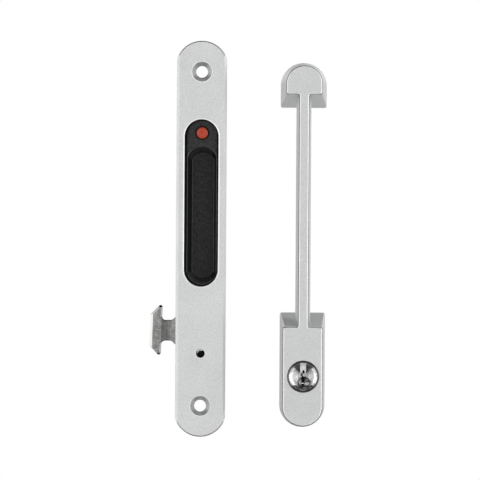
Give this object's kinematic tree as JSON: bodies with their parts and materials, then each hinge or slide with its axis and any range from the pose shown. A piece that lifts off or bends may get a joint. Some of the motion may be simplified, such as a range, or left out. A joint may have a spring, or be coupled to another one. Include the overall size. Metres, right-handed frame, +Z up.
{
  "type": "sliding latch lock",
  "caption": "Sliding door latch lock in two units: a slim face plate with a finger pull that lifts a T-shaped double hook, and a pull handle with a key cylinder.",
  "frame": {"origin": "midway between the face plate's two fixing holes, on the plane of the plate's back, which is the door's surface", "axes": "+Z up along the face plate, +Y into the door, +X to the right seen from the front, so the hook points along -X"},
  "size_m": [0.0841, 0.0485, 0.1896],
  "materials": {
    "anodised_aluminium": "satin silver anodised, fine grain",
    "zinc_case": "zinc plated steel sheet",
    "black_moulding": "fine textured face with glossier pocket walls",
    "red_indicator": "red moulded plastic",
    "steel_strip": "zinc plated strip",
    "zinc_block": "raw die-cast zinc",
    "tumbled_steel": "tumbled and zinc plated, mottled",
    "black_screw": "black oxide, oiled",
    "screw_steel": "zinc plated",
    "die_cast_silver": "satin silver lacquer, fine grain",
    "cylinder_brass": "turned brass",
    "chrome_trim": "bright chrome plate",
    "spring_steel": "drawn wire"
  },
  "bodies": {
    "root": {"face_plate": "anodised_aluminium", "lock_case": "zinc_case", "case_screws": "screw_steel", "handle_body": "die_cast_silver", "cylinder_body": "cylinder_brass", "cylinder_bezel": "chrome_trim", "driver_pins": "cylinder_brass", "pin_springs": "spring_steel", "pin_cover": "cylinder_brass", "cylinder_retainer": "zinc_case", "retainer_screws": "screw_steel"},
    "slide": {"slide_pull": "black_moulding", "indicator_dot": "red_indicator", "drive_bar": "steel_strip", "pull_screws": "screw_steel", "hook_carrier": "zinc_block", "bar_rivets": "screw_steel", "double_hook": "tumbled_steel", "clamp_screw": "black_screw", "detent_ball": "chrome_trim", "detent_spring": "spring_steel"},
    "hub": {"drive_hub": "zinc_block", "crank_pin": "screw_steel", "hub_clip": "spring_steel"},
    "key_plug": {"cylinder_plug": "chrome_trim", "key_pins": "cylinder_brass", "plug_clip": "spring_steel", "tailpiece": "steel_strip", "tailpiece_pin": "screw_steel"}
  },
  "joints": [
    {"name": "pull_slide", "type": "slide", "parent": "root", "child": "slide", "axis": [0, 0, 1], "range_m": [0, 0.01]},
    {"name": "hub_turn", "type": "hinge", "parent": "root", "child": "hub", "pos_m": [0, 0.0155, -0.0619], "axis": [0, -1, 0], "range_deg": [0, 90]},
    {"name": "key_turn", "type": "hinge", "parent": "root", "child": "key_plug", "pos_m": [0.0488, -0.02, -0.06465], "axis": [0, 1, 0], "range_deg": [-90, 90]}
  ],
  "couplings": [
    {"joint": "hub_turn", "follows": "pull_slide", "rad_per_m": 157.08}
  ]
}
